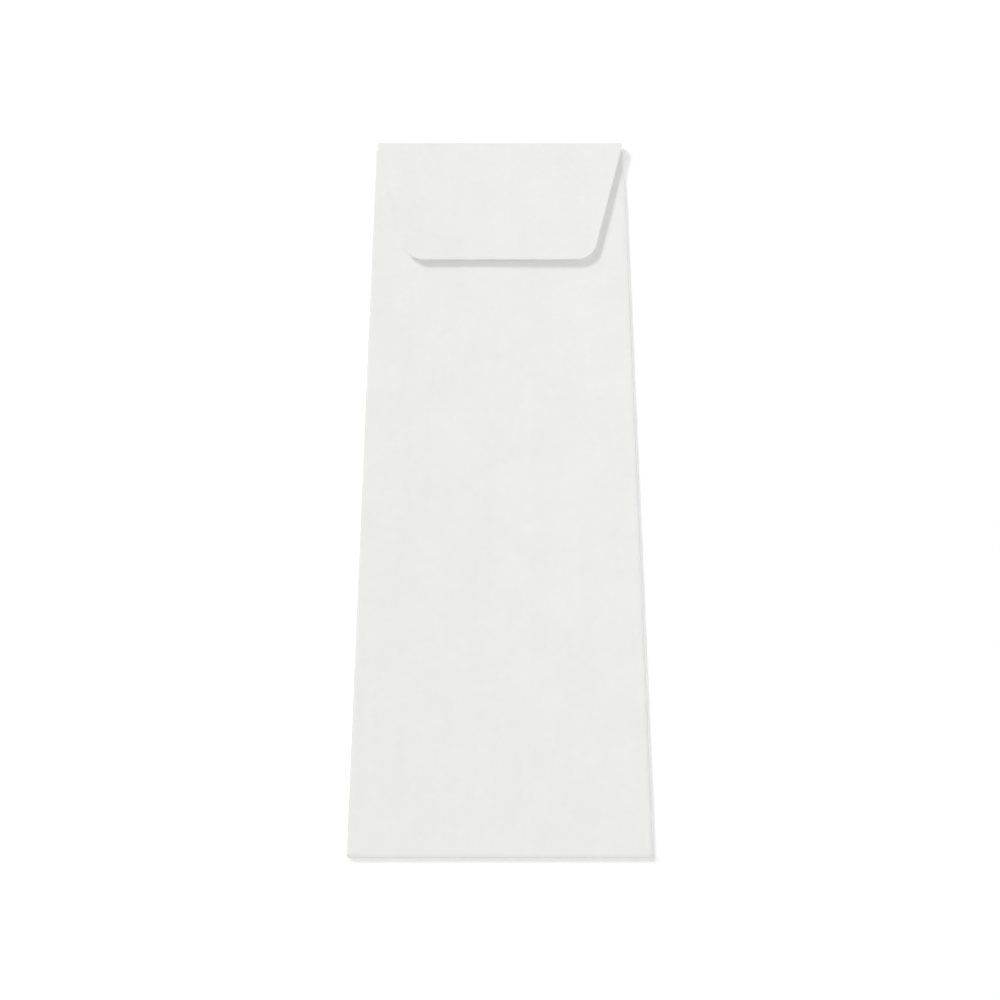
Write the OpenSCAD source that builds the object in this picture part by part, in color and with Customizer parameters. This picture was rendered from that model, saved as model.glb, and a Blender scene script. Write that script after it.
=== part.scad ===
// Open-end paper envelope, cut as one sheet, folded and glued at two side seams. It lies on its
// plain front with the closing flap folded over the back.
// Millimetres. X runs across the width, Y along the length towards the closing flap, Z up.
// The origin is on the underside, in the middle of the outline.

/* [Envelope] */
// Width across the two side folds
env_w = 105; // [90:1:130]
// Length from the bottom fold to the top fold
env_l = 287; // [210:1:330]
// Thickness of the sheet
sheet_t = 0.15; // [0.1:0.01:0.25]

/* [Pocket] */
// Height of the space between the front panel and the seam flaps
pocket_h = 0.5; // [0.3:0.05:1.5]
// Distance from the top fold down to the edge of the back panel
throat_d = 12; // [6:0.5:30]

/* [Seams] */
// Width of each seam flap, measured in from the outside of its side fold
seam_w = 18; // [10:0.5:30]
// Strip of each seam flap that the back panel leaves uncovered beside the side fold
seam_show = 0.4; // [0.1:0.1:2]
// Gap between the bend of the bottom fold and the seam flaps
seam_foot = 0.5; // [0.5:0.5:8]
// Gap between the bend of the top fold and the seam flaps
seam_head = 2; // [1:0.5:10]
// How much each end of a seam flap slants back, from its fold to its inner edge
seam_slant = 9; // [0:0.5:20]

/* [Closing flap] */
// Depth of the closing flap, from the top fold to its free edge
flap_d = 56.5; // [30:0.5:90]
// How far the closing flap and its fold are set in from each side fold
flap_shoulder = 0.7; // [0:0.1:5]
// How far each side of the closing flap comes in over its depth
flap_taper = 14.1; // [0:0.1:25]
// Radius of the two free corners
flap_r = 8.4; // [1:0.1:15]
// Height of the space that the sprung fold leaves between the back panel and the closing flap
flap_lift = 1.6; // [0.5:0.1:5]

/* [Hidden] */

// Each ply by the height of its underside
seam_z = sheet_t + pocket_h;
back_z = seam_z + sheet_t;
flap_z = back_z + sheet_t + flap_lift;

// Outer radius of the bend that carries the lowest ply up to a ply at height z
function bend_r(z) = (z + sheet_t) / 2;

// Straight stretch at each end of a bend, which lies inside the ply that the bend runs into
bend_leg = 3 * sheet_t;

// Where the flat plies end and the bends begin
side_x = env_w / 2 - bend_r(seam_z);
foot_y = bend_r(back_z) - env_l / 2;
head_y = env_l / 2 - bend_r(flap_z);

// Ends of the side folds
seam_foot_y = foot_y + seam_foot;
seam_head_y = head_y - seam_head;

back_x = side_x - seam_show;
throat_y = env_l / 2 - throat_d;
flap_x = env_w / 2 - flap_shoulder;

bend_facets = 48;
corner_facets = 96;

module both_sides() {
    children();
    mirror([1, 0, 0]) children();
}

// One flat layer of the sheet, with its underside at height z
module ply(z) {
    translate([0, 0, z]) linear_extrude(sheet_t) children();
}

// Strip of half height r with a straight part that ends in a half-round nose towards +X
module nose(r, straight) {
    intersection() {
        circle(r = r, $fn = bend_facets);
        translate([0, -2 * r]) square(4 * r);
    }
    translate([-straight, -r]) square([straight, 2 * r]);
}

// Half-round bend from the lowest ply up to the ply at height z. It starts at x = 0 and bulges
// towards +X, and its fold line runs along Y from 0 to run.
module bend(z, run) {
    outer_r = bend_r(z);
    translate([0, run, outer_r])
        rotate([90, 0, 0])
            linear_extrude(run)
                difference() {
                    nose(outer_r, bend_leg);
                    nose(outer_r - sheet_t, 2 * bend_leg);
                }
}

// Plain front, notched where the sheet turns up into the side folds and cut back to the
// shoulders of the closing flap above them
module front_panel() {
    ply(0) difference() {
        translate([-env_w / 2, foot_y]) square([env_w, head_y - foot_y]);
        both_sides() {
            translate([side_x, seam_foot_y]) square([env_w, seam_head_y - seam_foot_y]);
            translate([flap_x, seam_head_y]) square([env_w, env_l]);
        }
    }
}

// Seam flap and the fold that brings it in over the front panel
module seam_flap() {
    inner_x = env_w / 2 - seam_w;
    translate([side_x, seam_foot_y, 0]) bend(seam_z, seam_head_y - seam_foot_y);
    ply(seam_z) polygon([
        [side_x, seam_foot_y],
        [side_x, seam_head_y],
        [side_x - bend_leg, seam_head_y],
        [inner_x, seam_head_y - seam_slant],
        [inner_x, seam_foot_y + seam_slant],
        [side_x - bend_leg, seam_foot_y]
    ]);
}

// Back panel, folded up from the bottom and glued down on the two seam flaps
module back_panel() {
    translate([-back_x, foot_y, 0]) rotate([0, 0, -90]) bend(back_z, 2 * back_x);
    ply(back_z) translate([-back_x, foot_y]) square([2 * back_x, throat_y - foot_y]);
}

// Tapered outline of the closing flap, with a true arc at each free corner
module flap_outline() {
    edge_y = env_l / 2 - flap_d;
    edge_x = flap_x - flap_taper;
    taper_y = head_y - bend_leg;
    lean = atan2(flap_taper, taper_y - edge_y);
    reach = flap_r * tan(45 - lean / 2);
    side = [
        [flap_x, head_y],
        [flap_x, taper_y],
        [edge_x + reach * sin(lean), edge_y + reach * cos(lean)],
        [edge_x - reach, edge_y]
    ];
    polygon(concat(side, [for (i = [3:-1:0]) [-side[i].x, side[i].y]]));
    both_sides()
        translate([edge_x - reach, edge_y + flap_r]) circle(r = flap_r, $fn = corner_facets);
}

// Closing flap and the soft fold that carries it over the back
module closing_flap() {
    translate([flap_x, head_y, 0]) rotate([0, 0, 90]) bend(flap_z, 2 * flap_x);
    ply(flap_z) flap_outline();
}

module envelope() {
    color("whitesmoke") union() {
        front_panel();
        both_sides() seam_flap();
        back_panel();
        closing_flap();
    }
}

envelope();
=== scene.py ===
import math

import bmesh
import bpy
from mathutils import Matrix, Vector, noise


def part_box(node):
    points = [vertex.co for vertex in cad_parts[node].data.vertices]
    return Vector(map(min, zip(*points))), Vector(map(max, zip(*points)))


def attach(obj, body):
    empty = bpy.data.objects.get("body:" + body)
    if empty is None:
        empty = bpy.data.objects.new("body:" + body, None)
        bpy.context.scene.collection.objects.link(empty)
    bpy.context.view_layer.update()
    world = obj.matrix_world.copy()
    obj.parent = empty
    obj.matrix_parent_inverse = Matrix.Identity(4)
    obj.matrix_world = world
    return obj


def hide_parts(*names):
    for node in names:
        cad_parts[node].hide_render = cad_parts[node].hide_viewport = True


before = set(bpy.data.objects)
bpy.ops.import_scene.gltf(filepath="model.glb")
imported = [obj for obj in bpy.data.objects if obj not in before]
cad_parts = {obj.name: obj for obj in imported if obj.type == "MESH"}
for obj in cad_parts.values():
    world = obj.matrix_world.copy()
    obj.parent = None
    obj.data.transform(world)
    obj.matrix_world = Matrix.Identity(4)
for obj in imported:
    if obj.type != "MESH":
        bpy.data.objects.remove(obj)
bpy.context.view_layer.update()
low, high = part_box("envelope")
width = high.x - low.x
length = high.y - low.y
mm = 0.001
print("frame loaded, envelope", round(width / mm, 1), "by", round(length / mm, 1), "mm")


# Helpers for working in edit mode

pickReach = 0.002 * mm      # points this close to a place count as being there
weldReach = 0.001 * mm


def pickAlone(obj):
    bpy.ops.object.select_all(action="DESELECT")
    obj.select_set(True)
    bpy.context.view_layer.objects.active = obj


def selectPoints(obj, wanted):
    # edges and faces follow the points that are picked
    mesh = bmesh.from_edit_mesh(obj.data)
    bpy.ops.mesh.select_all(action="DESELECT")
    for point in mesh.verts:
        point.select = wanted(point.co)
    mesh.select_flush_mode()
    bmesh.update_edit_mesh(obj.data)


def near(value, target):
    return abs(value - target) < pickReach


def within(value, start, end):
    return start - pickReach < value < end + pickReach


def cutAcross(place, normal):
    bpy.ops.mesh.select_all(action="SELECT")
    bpy.ops.mesh.bisect(plane_co=place, plane_no=normal, threshold=weldReach)


def pull(x=0.0, y=0.0):
    bpy.ops.mesh.extrude_region_move(TRANSFORM_OT_translate={"value": (x, y, 0)})


# The folded sheet: one mesh surface through the middle of the paper, folded round, then given
# its thickness
sheet = {
    "thickness": 0.15 * mm,
    "pocket": 0.5 * mm,        # space between the front and the seam flaps
    "glueFilm": 0.01 * mm,     # dried glue between the seam flaps and the back
    "throatDepth": 12 * mm,    # from the top fold down to the edge of the back
    "seamWidth": 18 * mm,
    "seamShow": 0.4 * mm,      # strip of seam flap beside the back
    "seamFoot": 0.5 * mm,      # from the bend of the bottom fold to the seam flaps
    "seamHead": 2 * mm,        # from the bend of the top fold to the seam flaps
    "seamSlant": 9 * mm,       # how far the ends of a seam flap slant back
    "flapDepth": 56.5 * mm,
    "flapShoulder": 0.7 * mm,  # how far the flap is set in from the side folds
    "flapTaper": 14.1 * mm,    # how far each side comes in over the depth
    "flapRadius": 8.4 * mm,
    "foldLeg": 0.45 * mm,      # straight stretch where a fold runs into its ply
    "foldSteps": 12,
    "cornerSteps": 14,
    "gridStep": 2.5 * mm,
    "smoothAngle": 35,         # degrees
}

halfPaper = sheet["thickness"] / 2
frontZ = low.z + halfPaper
seamZ = frontZ + sheet["thickness"] + sheet["pocket"]
backZ = seamZ + sheet["thickness"] + sheet["glueFilm"]
flapZ = high.z - halfPaper
gapZ = (backZ + flapZ) / 2                               # halfway from the back to the flap

sideFoldX = high.x - (seamZ - low.z + halfPaper) / 2     # where the flat plies end
bottomFoldY = low.y + (backZ - low.z + halfPaper) / 2
topFoldY = high.y - (flapZ - low.z + halfPaper) / 2
backX = sideFoldX - sheet["seamShow"]
seamStartY = bottomFoldY + sheet["seamFoot"]
seamEndY = topFoldY - sheet["seamHead"]
throatY = high.y - sheet["throatDepth"]
seamInnerX = high.x - sheet["seamWidth"]
flapX = high.x - sheet["flapShoulder"]
flapStartY = topFoldY - sheet["foldLeg"]
flapEdgeY = high.y - sheet["flapDepth"]


def acrossFront(point, y):
    return near(point.z, frontZ) and near(point.y, y)


def alongSideFold(point, side, start, end):
    return near(point.x, side * sideFoldX) and within(point.y, start, end)


def makeFront():
    middleY = (bottomFoldY + seamEndY) / 2
    bpy.ops.object.select_all(action="DESELECT")
    bpy.ops.mesh.primitive_plane_add(size=1, location=(0, middleY, frontZ))
    obj = bpy.context.object
    obj.name = "folded_sheet"
    obj.scale = (2 * sideFoldX, seamEndY - bottomFoldY, 1)
    bpy.ops.object.transform_apply(location=True, rotation=True, scale=True)
    bpy.ops.object.mode_set(mode="EDIT")
    bpy.ops.mesh.select_mode(type="VERT")
    for x in (-flapX, -backX, backX, flapX):
        cutAcross((x, 0, 0), (1, 0, 0))
    cutAcross((0, seamStartY, 0), (0, 1, 0))
    selectPoints(obj, lambda p: acrossFront(p, seamEndY) and within(p.x, -flapX, flapX))
    pull(y=topFoldY - seamEndY)
    return obj


def makeFootStrip(obj):
    # below the side folds the sheet keeps its full width, with raw edges
    for side in (-1, 1):
        selectPoints(obj, lambda p: alongSideFold(p, side, bottomFoldY, seamStartY))
        pull(x=side * (high.x - sideFoldX))


def makeSeamFlaps(obj):
    middleY = (seamStartY + seamEndY) / 2
    run = seamEndY - seamStartY
    for side in (-1, 1):
        selectPoints(obj, lambda p: alongSideFold(p, side, seamStartY, seamEndY))
        bpy.ops.mesh.spin(
            steps=sheet["foldSteps"], angle=math.pi,
            center=(side * sideFoldX, 0, (frontZ + seamZ) / 2), axis=(0, side, 0),
        )
        pull(x=-side * sheet["foldLeg"])
        pull(x=-side * (sideFoldX - sheet["foldLeg"] - seamInnerX))
        bpy.ops.transform.resize(
            value=(1, (run - 2 * sheet["seamSlant"]) / run, 1),
            center_override=(side * seamInnerX, middleY, seamZ),
        )


def makeBack(obj):
    selectPoints(obj, lambda p: acrossFront(p, bottomFoldY) and within(p.x, -backX, backX))
    bpy.ops.mesh.spin(
        steps=sheet["foldSteps"], angle=math.pi,
        center=(0, bottomFoldY, (frontZ + backZ) / 2), axis=(1, 0, 0),
    )
    pull(y=throatY - bottomFoldY)


def makeClosingFlap(obj):
    selectPoints(obj, lambda p: acrossFront(p, topFoldY))
    bpy.ops.mesh.spin(
        steps=2 * sheet["foldSteps"], angle=math.pi,
        center=(0, topFoldY, (frontZ + flapZ) / 2), axis=(-1, 0, 0),
    )
    pull(y=flapStartY - topFoldY)
    pull(y=flapEdgeY - flapStartY)
    bpy.ops.transform.resize(
        value=((flapX - sheet["flapTaper"]) / flapX, 1, 1),
        center_override=(0, flapEdgeY, flapZ),
    )
    # the flap becomes one face, so that only its two corners are rounded
    selectPoints(obj, lambda p: near(p.z, flapZ) and p.y < (topFoldY + flapStartY) / 2)
    bpy.ops.mesh.dissolve_limited()


def roundFlapCorners(obj):
    cornerX = flapX - sheet["flapTaper"]
    lean = math.atan2(sheet["flapTaper"], flapStartY - flapEdgeY)
    reach = sheet["flapRadius"] * math.tan(math.pi / 4 - lean / 2)
    selectPoints(obj, lambda p: near(p.y, flapEdgeY) and near(abs(p.x), cornerX))
    bpy.ops.mesh.bevel(offset=reach, segments=sheet["cornerSteps"], affect="VERTICES")


def gridSheet():
    # the plies need points between their edges to take the waves
    step = sheet["gridStep"]
    columns = int(backX / step)
    rows = int(length / 2 / step)
    # the flap also needs those that the front has over the edges of the back
    for x in (-backX, backX):
        cutAcross((x, 0, 0), (1, 0, 0))
    for i in range(-columns, columns + 1):
        cutAcross((i * step, 0, 0), (1, 0, 0))
    for i in range(-rows, rows + 1):
        cutAcross((0, i * step, 0), (0, 1, 0))


# How the sheet departs from flat: a soft pillow in the back, a slight curl in the closing flap
# and the long slow waves of handled paper
form = {
    "edgeEase": 14 * mm,       # how far in from a fold the waves reach their full height
    "backWave": 0.09 * mm,
    "backPillow": 0.10 * mm,
    "seamStep": 0.05 * mm,     # how far the back drops inside the seam flaps
    "seamEase": 7 * mm,
    "flapWave": 0.05 * mm,
    "flapCurl": 0.05 * mm,
    "flapCurlMean": 0.6,       # taken off the curl, so that the flap keeps about its mean height
    "longWave": 62 * mm,
    "longShare": 1.3,
    "shortWave": 24 * mm,
    "shortShare": 0.55,
    "backSeed": 14.0,
    "flapSeed": 23.3,
    "shortSeedStep": 3.1,      # sets the short waves apart from the long ones
}


def ease(value):
    t = min(max(value, 0.0), 1.0)
    return t * t * (3 - 2 * t)


def waveNoise(x, y, size, seed):
    return noise.noise(Vector((x / size, y / size, seed)))


def paperWave(x, y, seed):
    # between about -1 and 1
    slow = waveNoise(x, y, form["longWave"], seed)
    quick = waveNoise(x, y, form["shortWave"], seed + form["shortSeedStep"])
    return slow * form["longShare"] + quick * form["shortShare"]


def backLift(x, y):
    fromSide = sideFoldX - abs(x)
    fromBottom = y - bottomFoldY
    fade = ease(fromSide / form["edgeEase"]) * ease(fromBottom / form["edgeEase"])
    inside = ease((seamInnerX - abs(x)) / form["seamEase"] + 0.5)
    crown = ease(fromSide / sideFoldX) * ease(fromBottom / (width / 2))
    wave = form["backWave"] * paperWave(x, y, form["backSeed"])
    return fade * (wave + form["backPillow"] * crown - form["seamStep"] * inside)


def flapLift(x, y):
    fade = ease((topFoldY - y) / form["edgeEase"])
    across = 1 - (2 * x / width) ** 2
    wave = form["flapWave"] * paperWave(x, y, form["flapSeed"])
    return fade * (wave + form["flapCurl"] * (across - form["flapCurlMean"]))


def layOnSheet(obj):
    # the seam flaps are glued to the back, so they move with it
    heightSlack = 0.1 * mm
    throatSlack = 1 * mm
    for point in obj.data.vertices:
        x, y, z = point.co
        isGlued = seamZ - heightSlack < z < backZ + heightSlack and abs(x) < sideFoldX
        if z > gapZ and y < topFoldY:
            point.co.z += flapLift(x, y)
        elif isGlued and bottomFoldY < y < throatY + throatSlack:
            point.co.z += backLift(x, y)


def giveThickness(obj):
    pickAlone(obj)
    wall = obj.modifiers.new("paper", "SOLIDIFY")
    wall.thickness = sheet["thickness"]
    wall.offset = 0
    wall.use_even_offset = True
    wall.use_rim = True
    wall.material_offset_rim = 1
    bpy.ops.object.modifier_apply(modifier=wall.name)
    bpy.ops.object.shade_smooth_by_angle(angle=math.radians(sheet["smoothAngle"]))


def makeSheet():
    obj = makeFront()
    makeFootStrip(obj)
    makeSeamFlaps(obj)
    makeBack(obj)
    makeClosingFlap(obj)
    roundFlapCorners(obj)
    gridSheet()
    bpy.ops.mesh.select_all(action="SELECT")
    bpy.ops.mesh.remove_doubles(threshold=weldReach)
    bpy.ops.mesh.normals_make_consistent(inside=False)
    bpy.ops.object.mode_set(mode="OBJECT")
    layOnSheet(obj)
    return obj


folded = makeSheet()
print("sheet folded:", len(folded.data.vertices), "points")


# Materials

def newMaterial(name):
    material = bpy.data.materials.new(name)
    material.use_nodes = True
    tree = material.node_tree
    shader = tree.nodes["Principled BSDF"]
    return material, tree, shader


def addNode(tree, kind, **settings):
    node = tree.nodes.new(kind)
    for key, value in settings.items():
        setattr(node, key, value)
    return node


def objectPlace(tree, stretch=(1, 1, 1)):
    place = addNode(tree, "ShaderNodeTexCoord")
    mapping = addNode(tree, "ShaderNodeMapping")
    mapping.inputs["Scale"].default_value = stretch
    tree.links.new(place.outputs["Object"], mapping.inputs["Vector"])
    return mapping.outputs["Vector"]


def addNoise(tree, scale, detail, roughness=0.5, stretch=(1, 1, 1)):
    node = addNode(tree, "ShaderNodeTexNoise")
    node.inputs["Scale"].default_value = scale
    node.inputs["Detail"].default_value = detail
    node.inputs["Roughness"].default_value = roughness
    tree.links.new(objectPlace(tree, stretch), node.inputs["Vector"])
    return node.outputs["Fac"]


def combine(tree, operation, first, second):
    node = addNode(tree, "ShaderNodeMath", operation=operation)
    for socket, value in zip(node.inputs, (first, second)):
        if isinstance(value, (int, float)):
            socket.default_value = value
        else:
            tree.links.new(value, socket)
    return node.outputs["Value"]


def addShares(tree, values, shares):
    total = 0
    for value, share in zip(values, shares):
        total = combine(tree, "ADD", total, combine(tree, "MULTIPLY", value, share))
    return total


def rescale(tree, value, fromLow, fromHigh, toLow, toHigh):
    node = addNode(tree, "ShaderNodeMapRange")
    node.inputs["From Min"].default_value = fromLow
    node.inputs["From Max"].default_value = fromHigh
    node.inputs["To Min"].default_value = toLow
    node.inputs["To Max"].default_value = toHigh
    tree.links.new(value, node.inputs["Value"])
    return node.outputs["Result"]


def tint(colour, share):
    return (colour[0] * share, colour[1] * share, colour[2] * share, 1)


def blendTones(tree, amount, colour, first, second):
    # the mix node has its two colours in sockets 6 and 7 and its result in 2
    node = addNode(tree, "ShaderNodeMix", data_type="RGBA")
    tree.links.new(amount, node.inputs["Factor"])
    node.inputs[6].default_value = tint(colour, first)
    node.inputs[7].default_value = tint(colour, second)
    return node.outputs[2]


def scaleColour(tree, colour, share):
    node = addNode(tree, "ShaderNodeVectorMath", operation="SCALE")
    tree.links.new(colour, node.inputs[0])
    tree.links.new(share, node.inputs["Scale"])
    return node.outputs["Vector"]


def addRelief(tree, shader, height, depth):
    bump = addNode(tree, "ShaderNodeBump")
    bump.inputs["Strength"].default_value = 1
    bump.inputs["Distance"].default_value = depth
    tree.links.new(height, bump.inputs["Height"])
    tree.links.new(bump.outputs["Normal"], shader.inputs["Normal"])


paperFinish = {
    "colour": (0.8565, 0.8485, 0.8225),
    "thinTone": 0.976,              # tone of the thin places in the pulp, against the colour
    "thickTone": 1.012,
    # clouds of pulp about 20 mm across, flocs of about 3 mm and faint lengthwise streaks
    "clouds": {"scale": 48, "detail": 4, "roughness": 0.55},
    "flocs": {"scale": 330, "detail": 2},
    "streaks": {"scale": 150, "detail": 2, "stretch": (1, 0.06, 1)},
    "fibres": {"scale": 2600, "detail": 3, "roughness": 0.6, "stretch": (1, 0.55, 1)},
    "pulpShares": (0.5, 0.3, 0.2),  # of the clouds, flocs and streaks
    "pulpReach": (0.36, 0.64),      # of their sum, from the thin tone to the thick one
    "leftPaintedShade": 0.95,               # painted shade along the left fold, against the rest of the sheet
    "leftBand": 1.1 * mm,
    "rightPaintedLight": 1.05,
    # painted light along the right fold
    "rightBand": 1.2 * mm,
    # painted shade along the bottom fold
    "bottomPaintedShade": 0.91,
    "bottomBand": 1.7 * mm,
    "flapEdgePaintedShade": 0.97,               # painted shade along the free edge of the closing flap
    "edgeBand": (0.6 * mm, 1.0 * mm),
    "flocReach": (0.3, 0.7),
    "roughness": (0.86, 0.94),      # over that reach of the flocs
    "specular": 0.12,
    "reliefShares": (0.6, 0.8),     # of the fibres and flocs
    "reliefDepth": 0.012 * mm,
}


def paintedEdgeShading(tree):
    # 1 on the open plies: painted shade towards the left and bottom of the outline and the free edge
    #                      of the closing flap, painted light towards the right
    place = addNode(tree, "ShaderNodeTexCoord")
    parts = addNode(tree, "ShaderNodeSeparateXYZ")
    tree.links.new(place.outputs["Object"], parts.inputs["Vector"])
    x, y, z = (parts.outputs[axis] for axis in "XYZ")
    left = rescale(tree, x, low.x, low.x + paperFinish["leftBand"], paperFinish["leftPaintedShade"], 1)
    right = rescale(tree, x, high.x, high.x - paperFinish["rightBand"], paperFinish["rightPaintedLight"], 1)
    bottom = rescale(tree, y, low.y, low.y + paperFinish["bottomBand"], paperFinish["bottomPaintedShade"], 1)
    bandStart, bandEnd = (flapEdgeY + reach for reach in paperFinish["edgeBand"])
    edge = rescale(tree, y, bandStart, bandEnd, paperFinish["flapEdgePaintedShade"], 1)
    edge = combine(tree, "MAXIMUM", edge, combine(tree, "LESS_THAN", z, gapZ))
    sides = combine(tree, "MULTIPLY", left, right)
    return combine(tree, "MULTIPLY", combine(tree, "MULTIPLY", sides, bottom), edge)


def makePaper():
    material, tree, shader = newMaterial("wovePaper")
    clouds = addNoise(tree, **paperFinish["clouds"])
    flocs = addNoise(tree, **paperFinish["flocs"])
    streaks = addNoise(tree, **paperFinish["streaks"])
    fibres = addNoise(tree, **paperFinish["fibres"])
    mixed = addShares(tree, (clouds, flocs, streaks), paperFinish["pulpShares"])
    amount = rescale(tree, mixed, *paperFinish["pulpReach"], 0, 1)
    tones = (paperFinish["thinTone"], paperFinish["thickTone"])
    pulp = blendTones(tree, amount, paperFinish["colour"], *tones)
    # the base colour carries the painted shade and light along the outline
    tree.links.new(scaleColour(tree, pulp, paintedEdgeShading(tree)), shader.inputs["Base Color"])
    roughness = rescale(tree, flocs, *paperFinish["flocReach"], *paperFinish["roughness"])
    tree.links.new(roughness, shader.inputs["Roughness"])
    shader.inputs["Specular IOR Level"].default_value = paperFinish["specular"]
    relief = addShares(tree, (fibres, flocs), paperFinish["reliefShares"])
    addRelief(tree, shader, relief, paperFinish["reliefDepth"])
    return material


cutEdgeFinish = {
    "colour": (0.872, 0.870, 0.850),
    "darkTone": 0.93,
    "fibres": {"scale": 5200, "detail": 3, "roughness": 0.6},
    "fibreReach": (0.35, 0.65),    # from the dark tone to the full colour
    "roughness": 0.95,
    "reliefDepth": 0.02 * mm,
}


def makeCutEdge():
    material, tree, shader = newMaterial("paperCutEdge")
    fibres = addNoise(tree, **cutEdgeFinish["fibres"])
    amount = rescale(tree, fibres, *cutEdgeFinish["fibreReach"], 0, 1)
    colour = blendTones(tree, amount, cutEdgeFinish["colour"], cutEdgeFinish["darkTone"], 1)
    tree.links.new(colour, shader.inputs["Base Color"])
    shader.inputs["Roughness"].default_value = cutEdgeFinish["roughness"]
    addRelief(tree, shader, fibres, cutEdgeFinish["reliefDepth"])
    return material


folded.data.materials.append(makePaper())
folded.data.materials.append(makeCutEdge())
giveThickness(folded)
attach(folded, "root")
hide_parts("envelope")
print("paper finished:", len(folded.data.polygons), "faces")


# Floor, light and camera

floor = {
    "size": 6.0,
    "drop": 0.15 * mm,             # paper touches the floor in few places
    "colour": (0.947, 0.940, 0.932, 1),     # warm enough to balance the cool panel light
    "glow": (0.036, 0.14),         # seen but lighting nothing, so the clear floor is white
    "glowReach": (0.55, 0.80),     # from the panel, whose falling off it makes up for
    "rimGlow": 0.03,               # more of it past the envelope
    "rimReach": (0.16, 0.20),      # from the middle
}


def seenDirectly(tree):
    # 1 for what the camera sees, also in gloss and through glass
    path = addNode(tree, "ShaderNodeLightPath")
    seen = combine(tree, "MAXIMUM", path.outputs["Is Camera Ray"], path.outputs["Is Glossy Ray"])
    return combine(tree, "MAXIMUM", seen, path.outputs["Is Transmission Ray"])


def distanceTo(tree, target):
    distance = addNode(tree, "ShaderNodeVectorMath", operation="DISTANCE")
    distance.inputs[1].default_value = target
    tree.links.new(objectPlace(tree), distance.inputs[0])
    return distance.outputs["Value"]


def makeFloor():
    bpy.ops.object.select_all(action="DESELECT")
    bpy.ops.mesh.primitive_plane_add(size=floor["size"], location=(0, 0, low.z - floor["drop"]))
    obj = bpy.context.object
    obj.name = "floor"
    material = bpy.data.materials.new("paleFloor")
    material.use_nodes = True
    tree = material.node_tree
    tree.nodes.clear()
    matte = addNode(tree, "ShaderNodeBsdfDiffuse")
    matte.inputs["Color"].default_value = floor["colour"]
    glow = addNode(tree, "ShaderNodeEmission")
    panelDistance = distanceTo(tree, light["panelPlace"])
    fromPanel = rescale(tree, panelDistance, *floor["glowReach"], *floor["glow"])
    middleDistance = distanceTo(tree, (0, 0, 0))
    fromMiddle = rescale(tree, middleDistance, *floor["rimReach"], 0, floor["rimGlow"])
    strength = combine(tree, "ADD", fromPanel, fromMiddle)
    tree.links.new(combine(tree, "MULTIPLY", seenDirectly(tree), strength), glow.inputs["Strength"])
    both = addNode(tree, "ShaderNodeAddShader")
    tree.links.new(matte.outputs["BSDF"], both.inputs[0])
    tree.links.new(glow.outputs["Emission"], both.inputs[1])
    output = addNode(tree, "ShaderNodeOutputMaterial")
    tree.links.new(both.outputs["Shader"], output.inputs["Surface"])
    obj.data.materials.append(material)


# Each share is its part of the light on a level white surface, and together they come to 1.
# Elevations, turns and softness are in degrees, and turns go from the far side round to the left.
light = {
    "keyShare": 0.204,
    "keyElevation": 25.4,
    "keyTurn": 41.5,
    "keySoftness": 10.5,
    "haloShare": 0.091,        # the same way as the key, for the soft rim of its shadows
    "haloSoftness": 33.0,
    "fillShare": 0.012,        # weak, from the right, for the folds and edges on that side
    "fillElevation": 28.0,
    "fillTurn": 250.0,
    "fillSoftness": 45.0,
    "frontShare": 0.468,
    "frontElevation": 54.0,
    "frontTurn": 188.5,        # from the viewer's side, a little from the right
    "frontSoftness": 8.0,
    "skyShare": 0.155,
    "panelShare": 0.07,        # cool light from the far right, falling off across the sheet
    "panelPlace": (0.31, 0.15, 0.51),
    "panelSize": 0.2,
    "panelColour": (0.90, 1.0, 1.12),
}


def lightFrom(elevation, turn):
    up = math.radians(elevation)
    side = math.radians(turn)
    return Vector((-math.cos(up) * math.sin(side), math.cos(up) * math.cos(side), math.sin(up)))


def addSun(name, share, towards, softness):
    sun = bpy.data.lights.new(name, "SUN")
    sun.energy = share * math.pi / towards.z
    sun.angle = math.radians(softness)
    obj = bpy.data.objects.new(name, sun)
    bpy.context.scene.collection.objects.link(obj)
    obj.rotation_euler = towards.to_track_quat("Z", "Y").to_euler()


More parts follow.
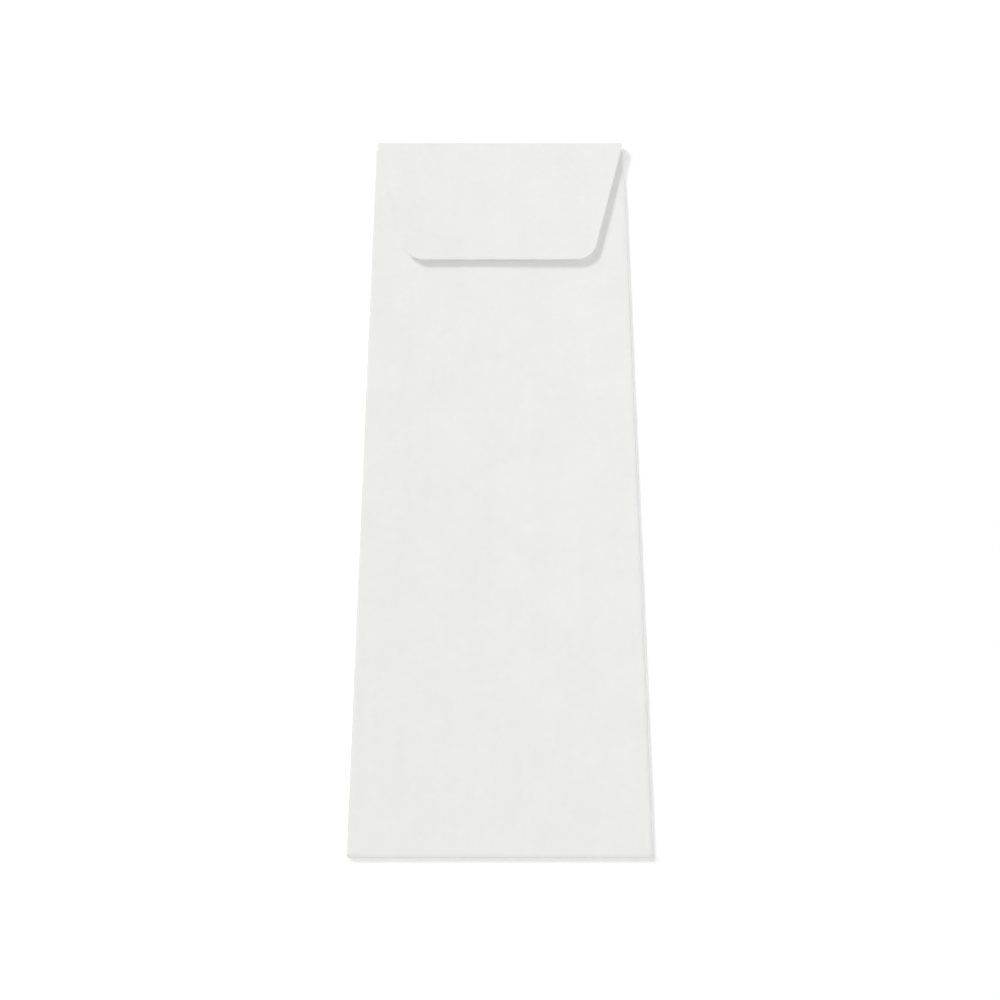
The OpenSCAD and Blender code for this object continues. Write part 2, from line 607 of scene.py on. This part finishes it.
def addPanel():
    # as a panel throws its light downwards, this gives it its share in the middle of the sheet
    place = Vector(light["panelPlace"])
    panel = bpy.data.lights.new("panel", "AREA")
    panel.shape = "DISK"
    panel.size = light["panelSize"]
    panel.color = light["panelColour"]
    panel.energy = light["panelShare"] * math.pi * math.pi * place.length ** 4 / place.z ** 2
    obj = bpy.data.objects.new("panel", panel)
    bpy.context.scene.collection.objects.link(obj)
    obj.location = place


def lightScene():
    keySide = lightFrom(light["keyElevation"], light["keyTurn"])
    addSun("key", light["keyShare"], keySide, light["keySoftness"])
    addSun("halo", light["haloShare"], keySide, light["haloSoftness"])
    fillSide = lightFrom(light["fillElevation"], light["fillTurn"])
    addSun("fill", light["fillShare"], fillSide, light["fillSoftness"])
    frontSide = lightFrom(light["frontElevation"], light["frontTurn"])
    addSun("front", light["frontShare"], frontSide, light["frontSoftness"])
    addPanel()


def makeSky():
    world = bpy.data.worlds.new("sky")
    world.use_nodes = True
    tree = world.node_tree
    background = tree.nodes["Background"]
    background.inputs["Color"].default_value = (1, 1, 1, 1)
    strength = rescale(tree, seenDirectly(tree), 0, 1, light["skyShare"], 1)
    tree.links.new(strength, background.inputs["Strength"])
    bpy.context.scene.world = world


# The camera looks down from in front of the bottom fold, tilted a little from straight down
view = {
    "lens": 36.8,
    "sensor": 36.0,
    "lookAt": (0.03 * mm, -14.98 * mm, 0),
    "distance": 388.6 * mm,
    "tilt": 17.45,             # degrees from straight down
}


def addCamera():
    tilt = math.radians(view["tilt"])
    camera = bpy.data.cameras.new("photoView")
    camera.lens = view["lens"]
    camera.sensor_width = view["sensor"]
    obj = bpy.data.objects.new("photoView", camera)
    bpy.context.scene.collection.objects.link(obj)
    back = Vector((0, -math.sin(tilt), math.cos(tilt)))
    obj.location = Vector(view["lookAt"]) + back * view["distance"]
    obj.rotation_euler = (tilt, 0, 0)
    bpy.context.scene.camera = obj


makeFloor()
lightScene()
makeSky()
addCamera()
bpy.context.scene.view_settings.view_transform = "Standard"
print("floor, light and camera in place")
